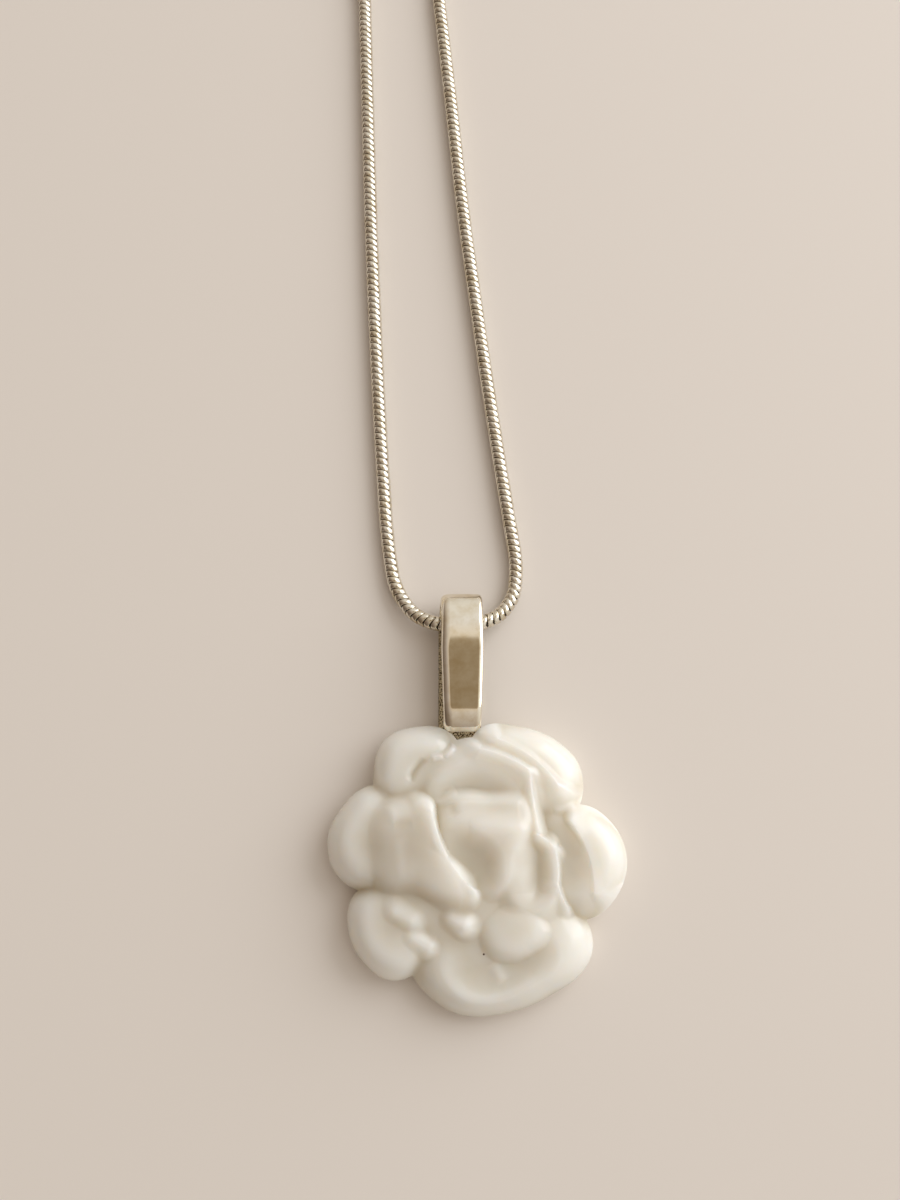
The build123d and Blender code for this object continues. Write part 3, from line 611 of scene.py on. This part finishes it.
def roundedPath(corners, cornerShare, spacing):
    # Straight runs joined by tangent arcs that take a share of the shorter run, as close points
    corners = [Vector(c) for c in corners]
    path = [corners[0]]
    for a, b, c in zip(corners, corners[1:], corners[2:]):
        before, after = b - a, c - b
        turn = before.angle(after)
        radius = cornerShare * min(before.length, after.length) / tan(turn / 2)
        reach = radius * tan(turn / 2)
        start, end = b - before.normalized() * reach, b + after.normalized() * reach
        bisector = (after.normalized() - before.normalized()).normalized()
        centre = b + bisector * (radius / cos(turn / 2))
        steps = max(2, int(radius * turn / spacing))
        for i in range(steps + 1):
            share = i / steps
            swing = (start - centre) * sin((1 - share) * turn) + (end - centre) * sin(share * turn)
            path.append(centre + swing / sin(turn))
    path.append(corners[-1])
    lengths = [(q - p).length for p, q in zip(path, path[1:])]
    total = sum(lengths)
    count = round(total / spacing)
    marks = [total * i / count for i in range(count + 1)]
    positions = np.concatenate([[0], np.cumsum(lengths)])
    columns = [np.interp(marks, positions, [p[k] for p in path]) for k in range(3)]
    return [Vector(p) for p in zip(*columns)], total


def makeLink(shape):
    # One band of the snake chain round the Z axis, a closed ring of six-sided section
    around, outer = shape["around"], shape["diameter"] / 2
    inner, lip = outer - shape["bandDepth"], outer - shape["lipEase"]
    rows = []
    for j in range(around):
        angle = 2 * pi * j / around
        wave = abs(((2 * angle / pi) % 2) - 1)
        seam = abs(2 * wave - 1) ** 3
        shift = shape["slope"] * (2 * wave - 1)
        half = shape["bandWidth"] / 2 * (1 - shape["seamPinch"] * seam)
        profile = [(inner, -half), (lip, -half), (outer, -half * shape["lowerLip"]),
                   (outer, half * shape["upperLip"]), (lip, half), (inner, half)]
        rows.append([(r * cos(angle), r * sin(angle), z + shift) for r, z in profile])
    return ringFaces(rows, closed=True)


def makeChainTree(shape, linkObject, count):
    # Geometry Nodes that stand a link at every pitch along a curve, each turned a little more
    tree = bpy.data.node_groups.new("snakeChainLinks", "GeometryNodeTree")
    interface = tree.interface
    interface.new_socket("Route", in_out="INPUT", socket_type="NodeSocketGeometry")
    inputs = {"Link": ("NodeSocketObject", linkObject), "Links": ("NodeSocketInt", count),
              "Turn Per Link": ("NodeSocketFloat", shape["turnPerLink"]),
              "First Turn": ("NodeSocketFloat", shape["firstTurn"]),
              "Looseness": ("NodeSocketFloat", shape["looseness"]),
              "Seed": ("NodeSocketInt", shape["seed"]), "Metal": ("NodeSocketMaterial", chainPlate)}
    sockets = {name: interface.new_socket(name, in_out="INPUT", socket_type=kind)
               for name, (kind, value) in inputs.items()}
    interface.new_socket("Chain", in_out="OUTPUT", socket_type="NodeSocketGeometry")
    given = addNode(tree, "NodeGroupInput").outputs
    points = addNode(tree, "GeometryNodeResampleCurve", {"mode": "COUNT"},
                     {"Curve": given["Route"], "Count": given["Links"]})
    tangent = addNode(tree, "GeometryNodeInputTangent")
    facing = addNode(tree, "FunctionNodeAlignRotationToVector", {"axis": "Z"},
                     {"Vector": tangent.outputs[0]})
    upright = addNode(tree, "FunctionNodeAlignRotationToVector",
                      {"axis": "X", "pivot_axis": "Z", "Vector": (0, 0, 1)},
                      {"Rotation": facing.outputs[0]})
    index = addNode(tree, "GeometryNodeInputIndex")
    drift = addNode(tree, "ShaderNodeMath", {"operation": "MULTIPLY_ADD"},
                    {0: index.outputs[0], 1: given["Turn Per Link"], 2: given["First Turn"]})
    loose = addNode(tree, "FunctionNodeRandomValue", {"data_type": "FLOAT"}, {"Seed": given["Seed"]})
    centred = addNode(tree, "ShaderNodeMath", {"operation": "SUBTRACT", 1: 0.5}, {0: loose.outputs[1]})
    shake = addNode(tree, "ShaderNodeMath", {"operation": "MULTIPLY_ADD"},
                    {0: centred.outputs[0], 1: given["Looseness"], 2: drift.outputs[0]})
    turn = addNode(tree, "FunctionNodeAxisAngleToRotation", {"Axis": (0, 0, 1)},
                   {"Angle": shake.outputs[0]})
    placed = addNode(tree, "FunctionNodeRotateRotation", {"rotation_space": "LOCAL"},
                     {0: upright.outputs[0], 1: turn.outputs[0]})
    link = addNode(tree, "GeometryNodeObjectInfo", links={"Object": given["Link"]})
    stood = addNode(tree, "GeometryNodeInstanceOnPoints", links={
        "Points": points.outputs[0], "Instance": link.outputs["Geometry"], "Rotation": placed.outputs[0]})
    real = addNode(tree, "GeometryNodeRealizeInstances", links={0: stood.outputs[0]})
    dressed = addNode(tree, "GeometryNodeSetMaterial",
                      links={"Geometry": real.outputs[0], "Material": given["Metal"]})
    addNode(tree, "NodeGroupOutput", links={0: dressed.outputs[0]})
    return tree, {sockets[name].identifier: value for name, (kind, value) in inputs.items()}


def makeChain(shape, closure, places):
    # The links on their route from cap to cap, and the core inside them
    into = closure["boreDepth"] - shape["endGap"]
    corners = [(places["mouthLeft"] + into, closure["y"], inCap)] + chainRoute
    corners += [(places["mouthRight"] - into, closure["y"], inCap)]
    path, length = roundedPath(corners, shape["cornerShare"], shape["routeSpacing"])
    count = int(length / shape["pitch"])
    linkObject = addMesh("chainLinkPattern", *makeLink(shape), chainPlate)
    curve = bpy.data.curves.new("chainRoute", "CURVE")
    curve.dimensions = "3D"
    spline = curve.splines.new("POLY")
    trimmed = path[shape["routeTrim"]:-shape["routeTrim"]]
    spline.points.add(len(trimmed) - 1)
    spline.points.foreach_set("co", [c for p in trimmed for c in (p.x * mm, p.y * mm, p.z * mm, 1)])
    route = bpy.data.objects.new("chainRoute", curve)
    scene.collection.objects.link(route)
    tree, values = makeChainTree(shape, linkObject, count)
    links = route.modifiers.new("links", "NODES")
    links.node_group = tree
    for identifier, value in values.items():
        links[identifier] = value
    seen = route.evaluated_get(bpy.context.evaluated_depsgraph_get())
    mesh = bpy.data.meshes.new_from_object(seen)
    chain = bpy.data.objects.new("snakeChainLinks", mesh)
    scene.collection.objects.link(chain)
    bpy.data.objects.remove(route)
    bpy.data.objects.remove(linkObject)
    corePath = [tuple(p) for p in path[::shape["coreEvery"]]]
    coreRows = wireRows(corePath, [shape["coreRadius"]] * len(corePath), shape["coreAround"])
    # The core is painted dark as the shade inside the chain
    core = addMesh("snakeChainCore", *ringFaces(coreRows), chainCoreShade)
    print("chain: %d links on %.1f mm" % (count, length))
    return chain, core


def turned(profile, x, y, z, around=40):
    # Shape turned about the X axis from (along, radius) pairs
    turns = [2 * pi * j / around for j in range(around)]
    return ringFaces([[(x + a, y + r * cos(t), z + r * sin(t)) for t in turns] for a, r in profile])


def torus(x, y, z, radius, wire, upright=False, steps=56, around=18):
    # Closed wire ring, flat or standing across the Y axis
    path = []
    for i in range(steps):
        t = 2 * pi * i / steps
        path.append((x + radius * cos(t), y, z + radius * sin(t)) if upright else
                    (x + radius * cos(t), y + radius * sin(t), z))
    return ringFaces(wireRows(path, [wire / 2] * steps, around, closed=True), closed=True)


def makeCap(shape, mouthX, eyeX, side):
    # Turned cap with two grooves, a bore for the chain and a flat wire eye
    radius, length = shape["capDiameter"] / 2, shape["capLength"]
    bore, deep = chainShape["diameter"] / 2 + shape["boreGap"], shape["boreDepth"]
    ease, pin = shape["boreEase"], shape["axisGap"]
    profile = [(deep, pin), (deep, bore - ease), (deep - ease, bore), (shape["mouthEase"], bore),
               (0.0, bore + ease)]
    profile += [(a, radius - inwards) for a, inwards in shape["mouthSide"]]
    for groove in shape["grooves"]:
        profile += [(groove + a, radius - inwards) for a, inwards in shape["grooveSide"]]
    profile += [(length - a, radius - inwards) for a, inwards in shape["endSide"]] + [(length, pin)]
    profile = [(side * a, r) for a, r in profile]
    if side < 0:
        profile.reverse()
    body = turned(profile, mouthX, shape["y"], inCap)
    return joinShapes([body, torus(eyeX, shape["y"], inCap, shape["eyeRadius"], shape["eyeWire"])])


def makeClasp(shape, places):
    # Lobster claw: eye, plump body, hook with its gate shut in one closed wire, and the thumb lever
    y, z, halfBody = shape["y"], inCap, shape["bodyLength"] / 2
    turns = [radians(a) for a in range(-90, 91, shape["bodyStep"])]
    profile = [(halfBody * sin(t), max(shape["axisGap"], inCap * cos(t))) for t in turns]
    body = turned(profile, places["bodyEnd"] - halfBody, y, z)
    halfWidth, halfLength, start = shape["hookWidth"] / 2, shape["hookLength"] / 2, places["hookStart"]
    path = []
    for i in range(shape["hookSteps"]):
        c, s = cos(2 * pi * i / shape["hookSteps"]), sin(2 * pi * i / shape["hookSteps"])
        along = (halfLength - halfWidth) * np.sign(c) * min(1, abs(c) * shape["hookSquareness"])
        path.append((start + halfLength + along + halfWidth * c, y + halfWidth * s, z))
    radii = [shape["claspWire"] / 2] * len(path)
    hook = ringFaces(wireRows(path, radii, shape["hookAround"], closed=True), closed=True)
    leverPath = [(start + a, y + sideways, z) for a, sideways, radius in shape["lever"]]
    leverRadii = [radius for a, sideways, radius in shape["lever"]]
    lever = ringFaces(wireRows(leverPath, leverRadii, shape["leverAround"]))
    eye = torus(places["claspEye"], y, z, shape["eyeRadius"], shape["eyeWire"])
    return joinShapes([eye, body, hook, lever])


flower = addMesh("glassFlower", *makeFlower(flowerShape), opalGlass)
channelOutline = plateOutline(bailShape, bailShape["glueGap"], bailShape["channelTo"])
channelTop = bailShape["plateThickness"] + bailShape["glueGap"]
channel = addMesh("plateChannel", *slab(channelOutline, bailShape["channelFrom"], channelTop), opalGlass)
cut = flower.modifiers.new("channel", "BOOLEAN")
cut.object, cut.operation, cut.solver = channel, "DIFFERENCE", "EXACT"
cutMesh = bpy.data.meshes.new_from_object(flower.evaluated_get(bpy.context.evaluated_depsgraph_get()))
flower.modifiers.clear()
flower.data = cutMesh
flower.data.shade_smooth()
flower.data.set_sharp_from_angle(angle=radians(flowerShape["sharpAngle"]))
bpy.data.objects.remove(channel)
# The glass's depth below its surroundings, kept on its points for the painted shade in hollows and painted
# light on ridges
spots = np.array([v.co[:2] for v in flower.data.vertices]) / mm
paintedShadeDepths = flower.data.attributes.new("hollow", "FLOAT", "POINT")
paintedShadeDepths.data.foreach_set("value", hollowness(flowerShape, *spots.T))
asPart(flower, "glass_flower")
print("flower: %d faces" % len(flower.data.polygons))

loop = addMesh("bailLoop", *ringFaces(bailRows(bailShape)), mirrorPlate, bailShape["loopSharpAngle"])
asPart(loop, "bail")
plateTop = glassTopY() + bailShape["length"] - bailShape["depth"] / 2
plateShape = slab(plateOutline(bailShape, 0.0, plateTop), 0.0, bailShape["plateThickness"],
                  bailShape["plateEdge"])
asPart(addMesh("bailPlate", *plateShape, stippledPlate, bailShape["plateSharpAngle"]), "bail")
print("bail made")

closureAt = closurePlaces(closureShape)
chain, core = makeChain(chainShape, closureShape, closureAt)
asPart(chain, "snake_chain")
asPart(core, "snake_chain")

for name, node, mouth, eye, side in (("endCapLeft", "end_cap_left", "mouthLeft", "eyeLeft", 1),
                                     ("endCapRight", "end_cap_right", "mouthRight", "eyeRight", -1)):
    cap = makeCap(closureShape, closureAt[mouth], closureAt[eye], side)
    asPart(addMesh(name, *cap, fittingPlate, closureShape["sharpAngle"]), node)
ringHeight = closureShape["ringRadius"] + closureShape["ringWire"] / 2
for name, node, place in (("jumpRingLeft", "jump_ring_left", "ringLeft"),
                          ("jumpRingRight", "jump_ring_right", "ringRight")):
    ring = torus(closureAt[place], closureShape["y"], ringHeight, closureShape["ringRadius"],
                 closureShape["ringWire"], upright=True)
    asPart(addMesh(name, *ring, fittingPlate), node)
clasp = addMesh("claspShut", *makeClasp(closureShape, closureAt), fittingPlate, closureShape["sharpAngle"])
asPart(clasp, "clasp")
print("closure made")


# Studio: pale matt floor, one large soft window light from the upper right, a dim patch straight
# overhead that the polished metal mirrors. The sky's tones are pairs: how nearly a direction points
# that way, and its colour.
studio = {"floor": "#E6DFD8", "floorRoughness": 0.75, "floorHalf": 600.0, "floorHeight": -0.02,
          "keyPower": 3.5, "keyColour": "#FBFCFF", "keyAt": (0.52, 0.32, 0.26), "keySize": 0.66,
          "sky": 1.14, "overhead": (0.01, 0.09, 0.996), "windowSide": (0.93, 0.36, 0.0),
          "overheadTones": ((0.0, "#D6D1C9"), (0.6, "#ECE9E2"), (0.88, "#F5F4F2"), (0.965, "#F6EEDF"),
                            (0.978, "#B3A48A"), (1.0, "#A89980")),
          "sideTones": ((0.0, "#6E615A"), (0.2, "#94877E"), (0.42, "#CDC4BC"), (0.72, "#F4F3F2"),
                        (1.0, "#FFFFFF"))}
# Camera almost straight above, 125 mm over the surface and tipped 12 degrees towards the chain
cameraPlace = {"at": (-2.7413, 1.5698, 125.1207), "tilt": 11.9, "lens": 36, "sensor": 36,
               "clipStart": 0.005}


def makeFloor(look):
    material, _, shader, _ = newMaterial("mattPaleFloor")
    shader.inputs["Base Color"].default_value = toLinear(look["floor"])
    shader.inputs["Roughness"].default_value = look["floorRoughness"]
    half, height = look["floorHalf"], look["floorHeight"]
    corners = [(x * half, y * half, height) for x, y in ((-1, -1), (1, -1), (1, 1), (-1, 1))]
    addMesh("floor", corners, [(0, 1, 2, 3)], material)


def addAreaLight(name, at, size, power, colour):
    light = bpy.data.lights.new(name, "AREA")
    light.energy, light.size, light.color = power, size, toLinear(colour)[:3]
    lamp = bpy.data.objects.new(name, light)
    lamp.location = at
    lamp.rotation_euler = (-Vector(at)).to_track_quat("-Z", "Y").to_euler()
    scene.collection.objects.link(lamp)


def makeSky(look):
    world = bpy.data.worlds.new("studioSky")
    world.use_nodes = True
    tree = world.node_tree
    tree.nodes.clear()
    direction = addNode(tree, "ShaderNodeTexCoord").outputs["Generated"]
    up = addNode(tree, "ShaderNodeVectorMath", {"operation": "DOT_PRODUCT", 1: look["overhead"]},
                 {0: direction})
    overhead = setRamp(addNode(tree, "ShaderNodeValToRGB", links={"Fac": up.outputs["Value"]}),
                       look["overheadTones"])
    side = addNode(tree, "ShaderNodeVectorMath", {"operation": "DOT_PRODUCT", 1: look["windowSide"]},
                   {0: direction})
    sideShare = addNode(tree, "ShaderNodeMapRange", {"From Min": -1.0, "From Max": 1.0},
                        {"Value": side.outputs["Value"]})
    sideways = setRamp(addNode(tree, "ShaderNodeValToRGB", links={"Fac": sideShare.outputs["Result"]}),
                       look["sideTones"])
    mixed = addNode(tree, "ShaderNodeMix", {"data_type": "RGBA", "blend_type": "MULTIPLY", 0: 1.0},
                    {6: overhead, 7: sideways})
    back = addNode(tree, "ShaderNodeBackground", {"Strength": look["sky"]}, {"Color": mixed.outputs[2]})
    addNode(tree, "ShaderNodeOutputWorld", links={"Surface": back.outputs[0]})
    scene.world = world


def makeCamera(place):
    camera = bpy.data.cameras.new("photoCamera")
    camera.sensor_width, camera.lens, camera.clip_start = place["sensor"], place["lens"], place["clipStart"]
    view = bpy.data.objects.new("photoCamera", camera)
    tilt = radians(place["tilt"])
    right = Vector((1, 0, 0))
    up = Vector((0, cos(tilt), sin(tilt)))
    back = Vector((0, -sin(tilt), cos(tilt)))
    turn = Matrix((right, up, back)).transposed().to_4x4()
    view.matrix_world = Matrix.Translation([c * mm for c in place["at"]]) @ turn
    scene.collection.objects.link(view)
    scene.camera = view


makeFloor(studio)
addAreaLight("windowLight", studio["keyAt"], studio["keySize"], studio["keyPower"], studio["keyColour"])
makeSky(studio)
makeCamera(cameraPlace)
scene.view_settings.view_transform = "Standard"
print("studio ready")
